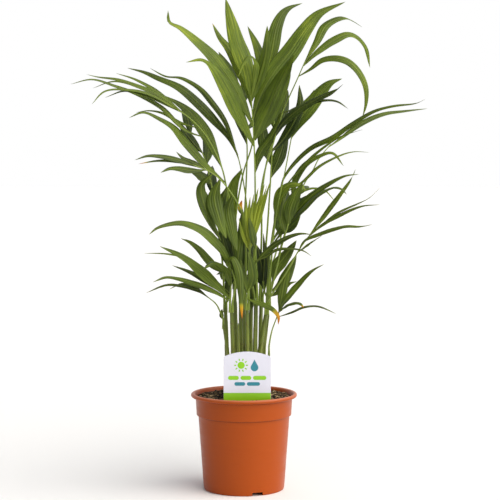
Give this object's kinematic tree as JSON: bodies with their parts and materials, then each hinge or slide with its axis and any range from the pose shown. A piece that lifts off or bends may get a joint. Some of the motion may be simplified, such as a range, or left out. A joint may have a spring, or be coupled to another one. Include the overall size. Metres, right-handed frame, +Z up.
{
  "type": "potted palm",
  "caption": "Clump of young feather palms with arching leaflets in a round tapered nursery pot of compost, with a plain stick-in plant label; stands on its foot.",
  "frame": {"origin": "middle of the pot's foot, on the surface it stands on", "axes": "+Z up along the pot's axis, -Y the front, where the label faces, +X to the right seen from the front"},
  "size_m": [0.5711, 0.3979, 0.7835],
  "materials": {
    "terracotta_plastic": "satin",
    "compost": "matte",
    "label_plastic": "satin",
    "palm_stem": "satin",
    "palm_leaf": "satin"
  },
  "bodies": {
    "root": {"pot": "terracotta_plastic", "potting_compost": "compost", "plant_label": "label_plastic", "stem_left_outer": "palm_stem", "stem_left_front": "palm_stem", "stem_left_inner": "palm_stem", "stem_centre_left": "palm_stem", "stem_centre_front": "palm_stem", "stem_crown": "palm_stem", "stem_centre_rear": "palm_stem", "stem_right_front": "palm_stem", "stem_right_rear": "palm_stem", "stem_right_thin": "palm_stem", "stem_rear": "palm_stem", "stem_rear_left": "palm_stem", "stem_rear_right": "palm_stem", "spear_left": "palm_stem", "spear_front": "palm_stem", "stem_middle": "palm_stem", "spear_right_front": "palm_stem", "spear_right": "palm_stem", "spear_rear_left": "palm_stem", "spear_rear_middle": "palm_stem", "spear_rear_right": "palm_stem", "spear_right_thin": "palm_stem", "frond_crown": "palm_leaf", "frond_crown_rear": "palm_leaf", "frond_arching": "palm_leaf", "frond_shaded": "palm_leaf", "frond_single_blade": "palm_leaf", "frond_left_upper": "palm_leaf", "frond_far_left": "palm_leaf", "frond_left_mid": "palm_leaf", "frond_left_low": "palm_leaf", "frond_folded": "palm_leaf", "frond_lowest": "palm_leaf", "frond_opening": "palm_leaf", "frond_centre_right": "palm_leaf", "frond_right_high": "palm_leaf", "frond_right_far": "palm_leaf", "frond_right_inner": "palm_leaf", "frond_right_front": "palm_leaf", "frond_right_straight": "palm_leaf", "frond_right_shaded": "palm_leaf", "frond_right_low": "palm_leaf", "frond_front_low": "palm_leaf", "frond_centre_dark": "palm_leaf", "frond_centre_shaded": "palm_leaf", "frond_centre_low": "palm_leaf", "frond_rear_upper": "palm_leaf", "frond_rear_left_upper": "palm_leaf", "frond_rear_left": "palm_leaf", "frond_rear_right": "palm_leaf", "frond_rear_low": "palm_leaf", "frond_rear_left_low": "palm_leaf"}
  },
  "joints": []
}
